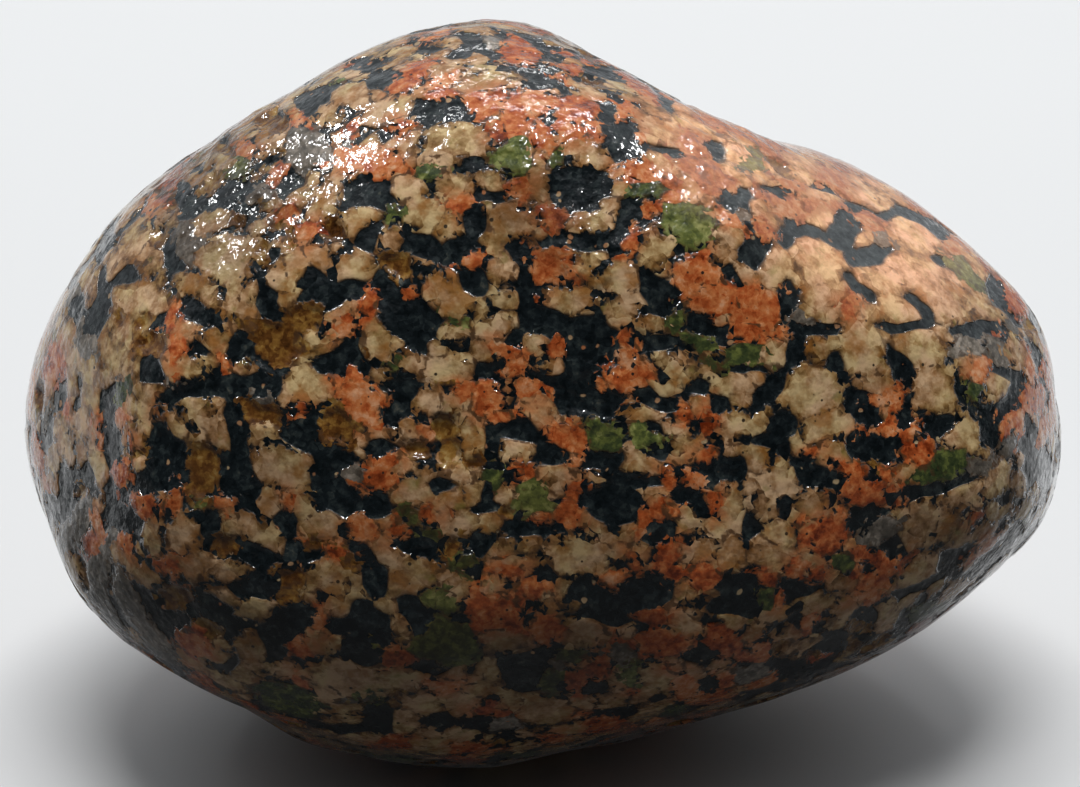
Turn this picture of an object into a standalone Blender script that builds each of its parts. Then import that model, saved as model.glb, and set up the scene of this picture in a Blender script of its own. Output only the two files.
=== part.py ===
# Granite cobble, water worn, resting on a small flat spot.
# One solid, in metres, +Z up, with the middle of its resting side at the origin.
# The shape is a round body felt out from its heart, then worn, ridged and pitted.
import math

import bmesh
import bpy
import numpy as np
from mathutils import Vector, noise

MM = 0.001

# The heart is the point that every distance below is measured from.
HEART_HEIGHT = 31.5
MAIN_SIDE_TILT = 23.0
CELLS_PER_EDGE = 27
FLAT_ROUNDING = 1.0
FLAT_SHRINK = 0.35

# How far the body reaches from its heart, in mm. The first number of each row is the lean
# away from the main side's line of sight, in degrees. The reaches after it are evenly spaced
# round that line, from the right end over the top to the left end and back below.
# Lean 82 is the outline that the main side shows.
BODY_BLEND = 0.62
BODY_REACH = {
    0: (30.8,),
    45: (35.0, 34.8, 34.0, 35.6, 38.0, 37.6, 33.0, 34.2),
    82: (45.9, 40.2, 33.0, 28.0, 30.2, 33.5, 32.8, 34.8, 39.5,
         43.2, 43.0, 38.8, 34.5, 32.5, 30.6, 32.1, 36.8, 44.1),
    130: (38.5, 34.5, 32.0, 34.5, 38.0, 38.0, 35.5, 36.0),
    180: (33.5,),
}

# Faces that the river wore: azimuth and elevation of the face in degrees, with 0 at the
# main side and 90 at the right end, then how deep it is worn in mm and its edge rounding.
WORN_FACES = {
    "main_side": (358, 17, 2.5, 1.6),
    "main_side_low": (2, -24, 0.6, 1.2),
    "left_end": (304, 12, 1.3, 1.0),
    "left_shoulder": (322, 50, 1.2, 1.0),
    "right_slope": (62, 52, 1.5, 1.0),
    "right_end": (72, 8, 0.8, 1.0),
    "right_below": (48, -36, 0.9, 1.0),
    "left_below": (306, -42, 0.7, 1.0),
    "back": (188, 18, 1.4, 1.0),
    "back_left": (236, 22, 1.0, 1.0),
    "back_right": (128, 34, 1.2, 1.0),
    "back_low": (170, -34, 1.2, 1.0),
    "back_low_left": (250, -32, 1.0, 1.0),
    "back_top": (200, 66, 1.0, 1.0),
}

# Broad ridges and hollows: azimuth, elevation, turn of the long axis from level, half
# length, half width and height, the last three in mm. A hollow has a negative height.
LANDFORMS = {
    "saddle": (112, 58, 25, 10.0, 5.5, -1.1),
    "saddle_front": (42, 54, 0, 9.0, 5.0, -0.6),
    "brow": (25, 40, -8, 15.0, 3.5, 0.4),
    "crown_edge": (0, 60, -6, 13.0, 4.0, 0.9),
    "left_ridge": (313, 22, 80, 13.0, 3.3, 0.6),
    "left_hollow": (298, 20, 80, 13.0, 5.0, -0.5),
    "left_waist": (284, -10, 10, 6.0, 5.0, -1.1),
    "left_foot": (291, -24, 0, 4.0, 3.5, 0.9),
    "left_notch": (302, -36, 0, 4.0, 4.0, -0.9),
    "low_knuckle": (312, -46, 0, 4.5, 4.0, 0.8),
    "right_cheek": (84, 11, 20, 7.0, 6.0, 0.9),
    "right_jaw": (78, -14, 0, 6.0, 5.0, 0.6),
    "right_notch": (66, -26, 0, 5.0, 4.0, -0.4),
    "pitted_ground": (333, 20, -20, 12.0, 9.0, -0.7),
    "ledge_hollow": (6, 21, -8, 4.5, 2.8, -0.6),
    "ledge_lip": (7, 14, -8, 5.5, 2.4, 0.35),
    "groove": (60, -8, -28, 11.0, 3.2, -0.7),
    "groove_lip": (58, 0, -28, 10.0, 3.2, 0.4),
    "chin": (350, -5, 5, 12.0, 5.0, 0.5),
    "back_swell": (205, 0, 20, 14.0, 7.0, 0.7),
    "back_hollow": (160, 12, -35, 11.0, 5.0, -0.7),
    "back_ledge": (222, 38, -12, 9.0, 3.0, -0.6),
}

# Pits where the dark minerals and stained grains have weathered out, given the same way.
PITS = {
    "stained_cavity": (346, 15, 60, 2.4, 1.7, -0.9),
    "rust_pit": (322, 40, 0, 2.2, 1.7, -0.6),
    "twin_pit": (335, 38, 20, 2.0, 1.6, -0.5),
    "golden_hollow": (322, 24, 10, 3.2, 2.4, -0.5),
    "dark_block": (9, 53, 0, 2.8, 2.0, -0.5),
    "dark_left": (312, 11, 80, 3.5, 2.4, -0.5),
    "dark_low": (357, -19, 0, 3.0, 2.4, -0.5),
    "dark_shoulder": (334, 44, -30, 5.0, 1.8, -0.5),
    "right_pit": (56, 12, 70, 2.6, 1.8, -0.5),
    "right_end_pit": (88, 2, 30, 2.6, 1.9, -0.5),
    "back_pit_high": (196, 40, 20, 3.0, 2.0, -0.6),
    "back_pit_low": (176, -8, -40, 3.2, 2.0, -0.6),
    "back_pit_left": (244, 8, 75, 3.0, 1.9, -0.6),
    "back_pit_right": (140, 22, 10, 2.6, 2.0, -0.5),
    "top_pit": (300, 68, 50, 3.0, 1.8, -0.5),
    "left_pit": (268, -14, -20, 2.8, 2.0, -0.5),
}

# Fine unevenness: wave length and height in mm.
UNEVENNESS = ((13.0, 0.42), (6.0, 0.26))


def facing(azimuth, elevation):
    a = math.radians(azimuth)
    e = math.radians(elevation)
    return np.array([math.sin(a) * math.cos(e), -math.cos(a) * math.cos(e), math.sin(e)])


def leaning(lean, turn):
    """Direction that leans away from the main side's line of sight."""
    tilt = math.radians(MAIN_SIDE_TILT)
    sight = np.array([0.0, -math.cos(tilt), math.sin(tilt)])
    above = np.array([0.0, math.sin(tilt), math.cos(tilt)])
    right = np.array([1.0, 0.0, 0.0])
    a = math.radians(lean)
    t = math.radians(turn)
    return math.cos(a) * sight + math.sin(a) * (math.cos(t) * right + math.sin(t) * above)


def bell(distance):
    return np.exp(-distance ** 2)


def body_reach(directions):
    """Smooth reach in each direction that passes through every felt distance."""
    felt = []
    reach = []
    for lean, row in BODY_REACH.items():
        for place, value in enumerate(row):
            felt.append(leaning(lean, 360.0 * place / len(row)))
            reach.append(value)
    felt = np.array(felt)
    reach = np.array(reach)
    middle = reach.mean()

    def spread(where):
        gaps = np.linalg.norm(where[:, None] - felt[None], axis=2)
        return bell(gaps / BODY_BLEND)

    weights = np.linalg.solve(spread(felt), reach - middle)
    return middle + spread(directions) @ weights


def relief(directions, reach, features):
    """Height of smooth bumps and hollows, each round its own facing."""
    total = np.zeros(len(directions))
    for azimuth, elevation, turn, half_length, half_width, height in features.values():
        out = facing(azimuth, elevation)
        level = np.cross((0.0, 0.0, 1.0), out)
        level /= np.linalg.norm(level)
        rise = np.cross(out, level)
        t = math.radians(turn)
        along = math.cos(t) * level + math.sin(t) * rise
        across = math.cos(t) * rise - math.sin(t) * level
        x = reach * (directions @ along) / half_length
        y = reach * (directions @ across) / half_width
        near_side = directions @ out > 0.0
        total += height * bell(np.hypot(x, y)) * near_side
    return total


def wear(points, directions, out, limit, rounding):
    """Bring the points back to a plane, with a rounded edge round the worn face."""
    beyond = (points @ out - limit) / rounding
    depth = rounding * np.logaddexp(0.0, beyond)
    slant = np.clip(directions @ out, 0.3, None)
    return points - directions * (depth / slant)[:, None]


def uneven_height(points):
    total = np.zeros(len(points))
    for length, height in UNEVENNESS:
        total += height * np.array([noise.noise(Vector(p) / length) for p in points])
    return total


def cobble_points(directions):
    reach = body_reach(directions)
    reach += relief(directions, reach, LANDFORMS)
    points = directions * reach[:, None]
    for azimuth, elevation, depth, rounding in WORN_FACES.values():
        out = facing(azimuth, elevation)
        limit = (points @ out).max() - depth
        points = wear(points, directions, out, limit, rounding)
    surface = np.linalg.norm(points, axis=1)
    detail = relief(directions, surface, PITS) + uneven_height(points)
    points += directions * detail[:, None]
    down = np.array([0.0, 0.0, -1.0])
    points = wear(points, directions, down, HEART_HEIGHT + FLAT_SHRINK, FLAT_ROUNDING)
    return points + (0.0, 0.0, HEART_HEIGHT)


def even_sphere(cells):
    """Unit sphere of even cells, blown up from a cube."""
    ball = bmesh.new()
    bmesh.ops.create_cube(ball, size=2.0)
    bmesh.ops.subdivide_edges(ball, edges=ball.edges, cuts=cells - 1, use_grid_fill=True)
    for vert in ball.verts:
        eased = [math.tan(axis * math.pi / 4) for axis in vert.co]
        vert.co = Vector(eased).normalized()
    return ball


def cut_resting_face(stone):
    """Slice the underside level and close it with one flat face."""
    everything = stone.verts[:] + stone.edges[:] + stone.faces[:]
    cut = bmesh.ops.bisect_plane(
        stone, geom=everything, plane_co=(0, 0, 0), plane_no=(0, 0, 1), clear_inner=True)
    rim = [item for item in cut["geom_cut"] if isinstance(item, bmesh.types.BMVert)]
    bmesh.ops.remove_doubles(stone, verts=rim, dist=0.3 * MM)
    open_edges = [edge for edge in stone.edges if edge.is_boundary]
    bmesh.ops.contextual_create(stone, geom=open_edges)


def centre_on_origin(stone):
    xs = [vert.co.x for vert in stone.verts]
    ys = [vert.co.y for vert in stone.verts]
    middle = Vector(((min(xs) + max(xs)) / 2, (min(ys) + max(ys)) / 2, 0.0))
    bmesh.ops.translate(stone, verts=stone.verts, vec=-middle)


def granite_material():
    material = bpy.data.materials.new("granite")
    material.use_nodes = True
    shader = material.node_tree.nodes["Principled BSDF"]
    shader.inputs["Base Color"].default_value = (0.23, 0.15, 0.09, 1.0)
    shader.inputs["Roughness"].default_value = 0.3
    shader.inputs["Metallic"].default_value = 0.0
    return material


def make_cobble(collection):
    stone = even_sphere(CELLS_PER_EDGE)
    directions = np.array([vert.co for vert in stone.verts])
    points = cobble_points(directions) * MM
    for vert, point in zip(stone.verts, points):
        vert.co = point
    cut_resting_face(stone)
    centre_on_origin(stone)
    bmesh.ops.recalc_face_normals(stone, faces=stone.faces)
    mesh = bpy.data.meshes.new("granite_cobble")
    stone.to_mesh(mesh)
    stone.free()
    mesh.materials.append(granite_material())
    mesh.shade_smooth()
    mesh.set_sharp_from_angle(angle=math.radians(40))
    cobble = bpy.data.objects.new("granite_cobble", mesh)
    collection.objects.link(cobble)
    return cobble


def main():
    for old in list(bpy.data.objects):
        bpy.data.objects.remove(old, do_unlink=True)
    collection = bpy.data.collections.new("granite specimen")
    bpy.context.scene.collection.children.link(collection)
    make_cobble(collection)


main()
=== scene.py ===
import math
from random import Random

import bmesh
import bpy
import numpy as np
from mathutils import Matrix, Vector, noise
from mathutils.bvhtree import BVHTree
from mathutils.geometry import intersect_line_plane
from mathutils.kdtree import KDTree


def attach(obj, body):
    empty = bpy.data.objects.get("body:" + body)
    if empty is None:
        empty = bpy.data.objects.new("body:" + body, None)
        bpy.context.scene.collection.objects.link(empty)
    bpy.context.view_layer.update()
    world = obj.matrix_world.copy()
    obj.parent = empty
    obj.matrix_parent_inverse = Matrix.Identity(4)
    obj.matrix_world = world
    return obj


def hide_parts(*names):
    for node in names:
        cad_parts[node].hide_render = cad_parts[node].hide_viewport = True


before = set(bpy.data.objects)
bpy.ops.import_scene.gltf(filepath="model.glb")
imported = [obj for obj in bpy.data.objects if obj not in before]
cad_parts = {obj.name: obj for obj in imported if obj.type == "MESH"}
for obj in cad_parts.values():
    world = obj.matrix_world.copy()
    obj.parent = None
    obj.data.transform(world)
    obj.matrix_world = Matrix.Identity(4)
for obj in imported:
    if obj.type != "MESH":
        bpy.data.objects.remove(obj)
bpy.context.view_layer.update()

mm = 0.001
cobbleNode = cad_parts["granite_cobble"]

# The photograph's view of the cobble. Picture places below are pixels of its 1080 x 787 frame.
view = {
    "width": 1080,
    "height": 787,
    "elevation": 23.0,         # degrees above level
    "distance": 261 * mm,
    "lookAt": 31.4 * mm,       # height of the point that the camera faces
    "lens": 100.0,
    "sensor": 36.0,
    "rightward": 4.5,          # pixels that the cobble sits right of the middle
}


def sightFrame():
    tilt = math.radians(view["elevation"])
    toCamera = Vector((0, -math.cos(tilt), math.sin(tilt)))
    upward = Vector((0, math.sin(tilt), math.cos(tilt)))
    return toCamera, upward, Vector((1, 0, 0))


def eyePoint():
    return Vector((0, 0, view["lookAt"])) + sightFrame()[0] * view["distance"]


def sightLine(x, y):
    # direction from the camera through a pixel
    toCamera, upward, rightward = sightFrame()
    pixel = view["sensor"] / view["lens"] / view["width"]
    across = (x - view["width"] / 2 - view["rightward"]) * pixel
    rise = (view["height"] / 2 - y) * pixel
    return (rightward * across + upward * rise - toCamera).normalized()


def placeObject(name, data):
    item = bpy.data.objects.new(name, data)
    bpy.context.scene.collection.objects.link(item)
    return item


def makeCamera():
    data = bpy.data.cameras.new("camera")
    data.lens = view["lens"]
    data.sensor_width = view["sensor"]
    data.shift_x = -view["rightward"] / view["width"]
    data.clip_start = 0.01
    camera = placeObject("camera", data)
    camera.location = eyePoint()
    camera.rotation_euler = (math.radians(90 - view["elevation"]), 0, 0)
    bpy.context.scene.camera = camera


makeCamera()
print("camera placed")

# Skin of the cobble: a cage cast onto the solid, then smoothed and divided.
skin = {
    "cagePerEdge": 32,
    "levels": 2,
    "gather": 0.22,            # how much finer the cells are on the main side
    "heart": 31.5 * mm,
}


def makeCage():
    toCamera = sightFrame()[0]
    heart = Vector((0, 0, skin["heart"]))
    solid = bmesh.new()
    solid.from_mesh(cobbleNode.data)
    bmesh.ops.remove_doubles(solid, verts=solid.verts, dist=1e-6)
    target = BVHTree.FromBMesh(solid)
    cage = bmesh.new()
    bmesh.ops.create_cube(cage, size=2.0)
    bmesh.ops.subdivide_edges(cage, edges=cage.edges, cuts=skin["cagePerEdge"] - 1, use_grid_fill=True)
    for vert in cage.verts:
        ball = Vector([math.tan(axis * math.pi / 4) for axis in vert.co]).normalized()
        ray = (ball + toCamera * skin["gather"]).normalized()
        vert.co = target.ray_cast(heart, ray)[0]
    solid.free()
    return cage


def makeSkin():
    cage = makeCage()
    mesh = bpy.data.meshes.new("cageMesh")
    cage.to_mesh(mesh)
    cage.free()
    holder = placeObject("cage", mesh)
    divide = holder.modifiers.new("divide", "SUBSURF")
    divide.levels = skin["levels"]
    divide.render_levels = skin["levels"]
    graph = bpy.context.evaluated_depsgraph_get()
    fine = bpy.data.meshes.new_from_object(holder.evaluated_get(graph))
    bpy.data.objects.remove(holder)
    fine.name = "graniteSkin"
    return fine


def readVectors(collection, name):
    flat = np.empty(len(collection) * 3, dtype=np.float32)
    collection.foreach_get(name, flat)
    return flat.reshape(-1, 3).astype(float)


fine = makeSkin()
print("skin made:", len(fine.vertices), "points")

# Mineral grains. Each is an oval patch on the skin, with a score in millimetres that is its
# depth inside the patch. The mineral with the best score shows; where none reaches, the dark
# minerals fill in.
grainRules = {
    "seed": 41,
    "reach": 1.3 * mm,         # how far past its rim a grain is scored
    "far": -1.6,               # score of a point that no grain reaches, mm
    "squareness": 2.4,         # 2 is a true oval
    "lobes": 0.10,             # how far rims swing in and out
    "steepest": 3.2,           # most that a grain near the outline is drawn out
    "warps": [(2.6 * mm, 0.26 * mm), (1.1 * mm, 0.16 * mm)],  # wave and swing of the grain rims
}

# The larger grains that show, read off the photograph:
# place x, y, half length and half width in pixels, and the turn in degrees if there is one.
seenGrains = {
    "cream": [
        (459, 140, 36, 18), (405, 187, 20, 12), (450, 185, 22, 14), (425, 213, 22, 18), (450, 228, 16, 16),
        (514, 222, 27, 19), (541, 187, 18, 12, 90), (540, 158, 10, 8), (412, 150, 18, 12, 90),
        (440, 160, 22, 6), (350, 95, 20, 14), (330, 115, 16, 10), (475, 28, 22, 6, -5),
        (480, 60, 14, 8, -20), (588, 150, 24, 17, -10), (590, 222, 24, 12, 15), (608, 205, 10, 8),
        (590, 90, 24, 8, -25), (580, 45, 30, 8, -35), (650, 125, 32, 10, -40), (690, 122, 24, 6, -20),
        (735, 155, 16, 10, -20), (800, 158, 22, 10, -25), (760, 178, 20, 8, -20), (618, 185, 10, 8),
        (790, 135, 24, 6, -20), (618, 280, 22, 18), (624, 308, 20, 20), (572, 302, 22, 14),
        (656, 250, 24, 16, 80), (778, 265, 16, 16), (820, 350, 18, 16), (668, 362, 18, 12, -20),
        (666, 390, 12, 12), (735, 385, 26, 12, -10), (742, 402, 14, 10), (700, 405, 14, 12, 60),
        (655, 322, 14, 12), (775, 355, 16, 13, -70), (722, 250, 14, 10, -60), (812, 395, 34, 28),
        (825, 425, 26, 20), (640, 412, 22, 10), (825, 215, 16, 14), (818, 262, 26, 24), (825, 300, 22, 20),
        (915, 233, 27, 12, -32), (885, 278, 24, 14, -5), (920, 272, 34, 18, -15), (950, 303, 26, 20, -25),
        (862, 348, 26, 24, 90), (875, 385, 22, 9, -10), (920, 347, 24, 18, -15), (935, 390, 26, 25),
        (980, 305, 16, 11, -70), (1018, 352, 16, 14, -60), (1000, 385, 14, 14), (940, 330, 13, 7, -25),
        (897, 308, 24, 11, -25), (865, 240, 12, 10, 90), (1040, 345, 18, 6, -70), (225, 258, 32, 24),
        (195, 285, 22, 13, -10), (150, 255, 20, 12, 90), (143, 300, 30, 17, 5), (88, 280, 20, 9, 80),
        (125, 333, 18, 12), (182, 331, 14, 13), (215, 340, 16, 13), (240, 310, 22, 10, -50),
        (185, 368, 26, 12), (145, 395, 15, 12), (355, 265, 20, 15, 15), (388, 240, 13, 12),
        (427, 263, 14, 6, -15), (447, 297, 28, 18, -10), (492, 240, 15, 10, 90), (500, 268, 18, 13, 90),
        (505, 300, 19, 12), (495, 325, 26, 14, 10), (455, 335, 18, 13), (480, 350, 14, 8, -40),
        (450, 370, 26, 15), (375, 335, 28, 14, -80), (410, 362, 13, 12), (385, 372, 12, 10),
        (310, 388, 28, 18), (322, 350, 28, 7, 25), (295, 268, 26, 13, 80), (315, 252, 16, 12, -40),
        (550, 368, 12, 7, 10), (430, 402, 14, 12), (98, 465, 22, 10, -75), (200, 412, 22, 14),
        (176, 427, 20, 9, -50), (180, 535, 28, 15, 70), (228, 524, 10, 8, 90), (262, 532, 26, 13, -40),
        (225, 570, 24, 12), (145, 575, 16, 12, -50), (282, 465, 30, 26), (138, 407, 14, 11),
        (320, 524, 24, 15), (330, 574, 28, 18), (385, 433, 15, 8), (411, 430, 11, 10),
        (472, 437, 24, 13, -75), (457, 472, 17, 10, -20), (405, 468, 18, 10), (412, 493, 23, 14, 10),
        (468, 522, 18, 13), (490, 522, 13, 10), (385, 552, 20, 12, -30), (411, 577, 28, 21, 20),
        (504, 549, 14, 11, -10), (527, 547, 13, 9), (535, 563, 16, 8, 5), (553, 480, 15, 15),
        (517, 450, 18, 13, -20), (540, 415, 17, 13, 90), (675, 428, 14, 10, -30), (684, 448, 15, 14),
        (745, 432, 24, 7, 18), (724, 438, 10, 10), (768, 415, 12, 9, 60), (640, 463, 19, 11, -10),
        (596, 477, 12, 12), (655, 498, 16, 15), (684, 512, 12, 9, 20), (731, 505, 26, 14, -75),
        (778, 480, 20, 19), (766, 507, 16, 14), (778, 537, 16, 15), (812, 508, 20, 17),
        (600, 530, 20, 9, -40), (577, 559, 31, 20), (620, 553, 12, 8, 80), (705, 547, 22, 13, 10),
        (731, 556, 20, 17, 80), (770, 556, 24, 18), (718, 597, 18, 6, 10), (835, 450, 18, 13, -20),
        (822, 466, 13, 6, -15), (965, 436, 19, 18), (887, 408, 12, 10), (903, 472, 14, 11),
        (995, 483, 24, 11, 65), (1017, 484, 16, 11, 80), (1000, 512, 18, 7, 10), (965, 495, 24, 10, 15),
        (921, 522, 28, 15, 70), (950, 530, 20, 13, 55), (842, 583, 16, 10), (285, 103, 16, 8, -25),
        (222, 160, 10, 10), (195, 180, 12, 9), (165, 215, 14, 10), (270, 205, 14, 12),
        (815, 155, 16, 6, -25), (885, 186, 24, 6, -28), (865, 195, 24, 9, -20), (884, 203, 16, 8, -30),
        (822, 195, 16, 6, -10), (900, 198, 18, 5, -30), (222, 597, 18, 9, -20), (255, 610, 22, 12, 10),
        (250, 650, 22, 16, -35), (220, 657, 18, 6, -15), (245, 675, 16, 12), (287, 672, 18, 9, 10),
        (190, 632, 12, 7), (190, 660, 20, 8, -25), (230, 683, 20, 7, -15), (340, 590, 22, 10, -10),
        (315, 640, 14, 14), (385, 608, 14, 10, -10), (350, 682, 34, 18), (400, 680, 28, 12, -5),
        (330, 692, 18, 12), (425, 705, 24, 14, -10), (403, 722, 16, 14, 60), (462, 705, 16, 15),
        (510, 700, 16, 9, -15), (545, 712, 28, 18, -10), (430, 745, 24, 14, -10), (460, 735, 20, 7),
        (360, 740, 22, 9), (482, 668, 22, 8, 50), (550, 605, 10, 16), (582, 633, 24, 16),
        (605, 640, 16, 10), (690, 612, 12, 7), (658, 678, 16, 14), (695, 672, 12, 10), (775, 616, 20, 7, 5),
        (815, 603, 20, 11, 10), (790, 635, 16, 8, 10), (612, 700, 18, 10), (650, 712, 24, 9, 25),
        (888, 618, 18, 11, 60), (835, 625, 14, 8), (850, 660, 16, 5, 10),
    ],
    # quartz, and a painted sheen: the thin streaks along the left and lower edges stand in for the pale
    # reflection there
    "grey": [
        (305, 150, 25, 22), (188, 240, 22, 16, 80), (803, 320, 14, 7, -10), (970, 345, 14, 12),
        (1000, 355, 18, 8, -65), (85, 345, 14, 12), (985, 466, 14, 9, 20), (880, 530, 20, 12, 20),
        (1010, 445, 14, 8, 80), (80, 520, 26, 9, 75), (62, 545, 26, 8, 70), (100, 555, 26, 8, 65),
        (95, 590, 24, 8, 60), (130, 600, 30, 10, -55), (110, 615, 26, 8, -60), (150, 635, 30, 9, -45),
        (165, 655, 26, 7, -35), (500, 725, 16, 7, 5), (750, 675, 20, 9, 10), (955, 600, 24, 5, 25),
        (885, 650, 20, 5, 20), (260, 195, 18, 8, 10),
    ],
    "orange": [
        (365, 160, 38, 15, -5), (445, 95, 16, 7), (478, 103, 22, 14, -10), (516, 112, 22, 16, 90),
        (545, 138, 18, 14), (400, 125, 14, 9), (520, 190, 14, 13), (520, 50, 22, 13, -20),
        (440, 30, 15, 6, 10), (575, 107, 24, 16), (570, 132, 14, 12), (636, 172, 22, 13, -10),
        (650, 208, 14, 8, -45), (625, 108, 14, 10, -20), (640, 85, 24, 10, -35), (705, 172, 34, 14, -40),
        (725, 125, 30, 6, -20), (760, 140, 30, 6, -20), (790, 185, 18, 6, -20), (833, 207, 14, 7),
        (790, 208, 16, 8), (675, 200, 12, 8, -30), (553, 264, 24, 20), (510, 352, 20, 9, -30),
        (518, 366, 14, 9), (465, 390, 12, 8), (490, 400, 18, 16), (532, 392, 18, 11), (497, 418, 12, 8),
        (540, 230, 10, 8, 80), (560, 347, 12, 11), (626, 380, 24, 18), (628, 360, 16, 12, 90),
        (692, 277, 26, 20, 40), (717, 303, 32, 15, -10), (757, 308, 28, 22), (742, 332, 24, 11, 10),
        (628, 243, 14, 10, 60), (848, 305, 12, 10, 90), (868, 222, 14, 9, -35), (885, 400, 20, 12),
        (1017, 300, 18, 9, -50), (1030, 400, 14, 11, 90), (1048, 378, 16, 5, -80), (955, 243, 13, 9, -40),
        (120, 472, 16, 9, 80), (143, 507, 16, 11, -10), (127, 545, 14, 7, -60), (388, 462, 14, 11),
        (431, 515, 12, 9), (508, 568, 20, 10, -10), (503, 602, 26, 15), (535, 590, 14, 10),
        (522, 474, 12, 9), (706, 418, 20, 10, 80), (705, 456, 14, 8), (668, 474, 12, 11, -30),
        (665, 507, 9, 9), (700, 481, 18, 8, -15), (713, 500, 16, 8, -80), (573, 513, 14, 13),
        (642, 528, 12, 8, 80), (705, 578, 15, 14), (673, 577, 13, 11), (615, 580, 14, 7, 10),
        (825, 533, 22, 22), (849, 470, 20, 8, -15), (862, 493, 26, 13), (863, 436, 11, 8),
        (893, 431, 13, 8), (921, 450, 16, 15), (868, 557, 19, 10, -5), (883, 573, 32, 8, 35),
        (870, 597, 20, 7, 20), (1045, 430, 14, 6, 80), (243, 148, 14, 10, -30), (168, 188, 22, 8, 55),
        (152, 202, 12, 7, 50), (300, 118, 10, 8), (285, 215, 12, 10), (845, 168, 18, 5, -28),
        (835, 178, 22, 9, -25), (918, 207, 22, 7, -35), (815, 205, 14, 8, -10), (870, 218, 16, 6, -25),
        (292, 650, 10, 12), (265, 715, 26, 6, -25), (300, 650, 14, 12), (318, 620, 16, 10, 90),
        (398, 658, 18, 9), (447, 685, 20, 8), (497, 612, 34, 24, 15), (545, 630, 16, 16), (485, 710, 18, 6),
        (390, 745, 24, 7, 5), (320, 745, 20, 7, -25), (470, 748, 20, 7), (600, 665, 14, 12, 30),
        (575, 685, 12, 12, 50), (652, 615, 22, 9, -5), (662, 645, 28, 14), (722, 645, 20, 16, -20),
        (745, 655, 14, 8), (760, 650, 14, 10), (690, 690, 18, 12), (728, 680, 10, 9), (605, 725, 24, 10, 5),
        (700, 715, 20, 5, 12), (612, 633, 10, 8),
    ],
    "amber": [
        (333, 229, 18, 13, -10), (396, 268, 15, 13), (305, 318, 22, 18), (293, 345, 14, 12),
        (278, 345, 26, 24), (368, 345, 14, 6, 90), (430, 380, 9, 5), (447, 378, 9, 5), (416, 450, 13, 10),
        (445, 428, 16, 13, 60), (449, 460, 18, 12, 80), (203, 470, 27, 17, 80), (262, 414, 27, 13, -15),
        (223, 546, 12, 11), (290, 578, 16, 12), (150, 341, 15, 9, -10), (262, 250, 10, 10),
        (290, 245, 18, 9, 90), (245, 322, 10, 8), (342, 425, 20, 19), (320, 541, 14, 7), (350, 566, 12, 8),
        (140, 452, 20, 5, 5), (270, 123, 20, 10, -15), (225, 148, 10, 8), (165, 192, 12, 9, 30),
        (212, 180, 12, 8), (205, 190, 12, 5, 10), (283, 152, 10, 6), (232, 218, 12, 10),
        (175, 600, 18, 14, -10), (290, 595, 14, 10), (860, 630, 14, 8),
    ],
    "green": [
        (515, 155, 20, 19, -40), (560, 155, 10, 8, 90), (395, 215, 8, 8), (647, 190, 22, 9, 5),
        (690, 222, 27, 22, -20), (750, 162, 13, 12), (440, 304, 8, 7), (455, 325, 9, 5),
        (675, 320, 15, 12, 70), (697, 342, 20, 11, -15), (742, 357, 22, 12), (772, 361, 8, 8),
        (605, 436, 22, 18), (640, 438, 18, 12, 5), (535, 497, 20, 16), (968, 272, 28, 8, -47),
        (950, 465, 22, 15, 20), (915, 478, 10, 8), (975, 390, 12, 9, 90), (122, 392, 14, 7, 80),
        (465, 563, 15, 12, 60), (430, 532, 10, 8), (412, 517, 10, 8, 90), (843, 562, 12, 8),
        (445, 645, 34, 26), (445, 602, 18, 12), (566, 654, 14, 8), (631, 674, 12, 14),
        (673, 711, 16, 9, 10), (368, 692, 18, 10, -20), (290, 702, 34, 14, -15), (270, 688, 20, 7),
        (372, 645, 10, 5, -40), (520, 755, 20, 6), (765, 597, 12, 10), (580, 745, 14, 6),
        (930, 612, 26, 9, 20),
    ],
    "black": [
        (425, 108, 16, 10), (455, 108, 22, 10, -25), (480, 166, 20, 6, -8), (492, 196, 18, 8, -5),
        (475, 220, 16, 13, 90), (370, 192, 28, 15), (325, 88, 16, 5, 10), (302, 100, 14, 9),
        (360, 62, 14, 6, 20), (475, 42, 18, 6, -35), (542, 45, 16, 5, -40), (532, 70, 14, 8),
        (540, 82, 14, 6), (580, 189, 30, 19), (603, 72, 20, 6, -20), (605, 112, 14, 13),
        (622, 138, 20, 16, 80), (640, 212, 16, 10, -40), (672, 150, 18, 5, -15), (720, 152, 16, 8, -20),
        (737, 196, 18, 12), (775, 190, 20, 5, -15), (665, 98, 20, 6, -40), (585, 242, 28, 8, -5),
        (625, 228, 10, 8, 80), (652, 285, 16, 13, -60), (590, 345, 32, 24, 80), (590, 400, 36, 12),
        (757, 252, 20, 14, -50), (788, 302, 16, 10, 80), (715, 332, 26, 8, -5), (798, 350, 24, 8, 70),
        (770, 392, 24, 12, 50), (655, 400, 24, 10, -5), (655, 345, 20, 8), (720, 402, 12, 9),
        (700, 388, 10, 9), (750, 368, 22, 4), (815, 329, 26, 7, -3), (815, 230, 14, 8), (845, 232, 22, 16),
        (868, 254, 26, 12), (930, 222, 32, 8, -32), (940, 262, 11, 7, -45), (997, 290, 16, 9, -55),
        (865, 290, 24, 6, -40), (924, 308, 20, 7, -45), (915, 325, 40, 5), (837, 361, 16, 10, -30),
        (900, 365, 21, 10, -65), (972, 329, 26, 7, 5), (961, 390, 13, 10, 90), (862, 396, 14, 10),
        (1015, 395, 14, 11, 80), (1038, 350, 12, 8, -70), (1010, 375, 16, 7, -25), (425, 246, 16, 12),
        (453, 252, 20, 12, 80), (370, 238, 14, 10, 80), (312, 280, 13, 7, -75), (322, 297, 22, 10),
        (355, 287, 12, 10), (412, 320, 32, 20, -45), (471, 283, 14, 12), (522, 250, 14, 8, 10),
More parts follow.
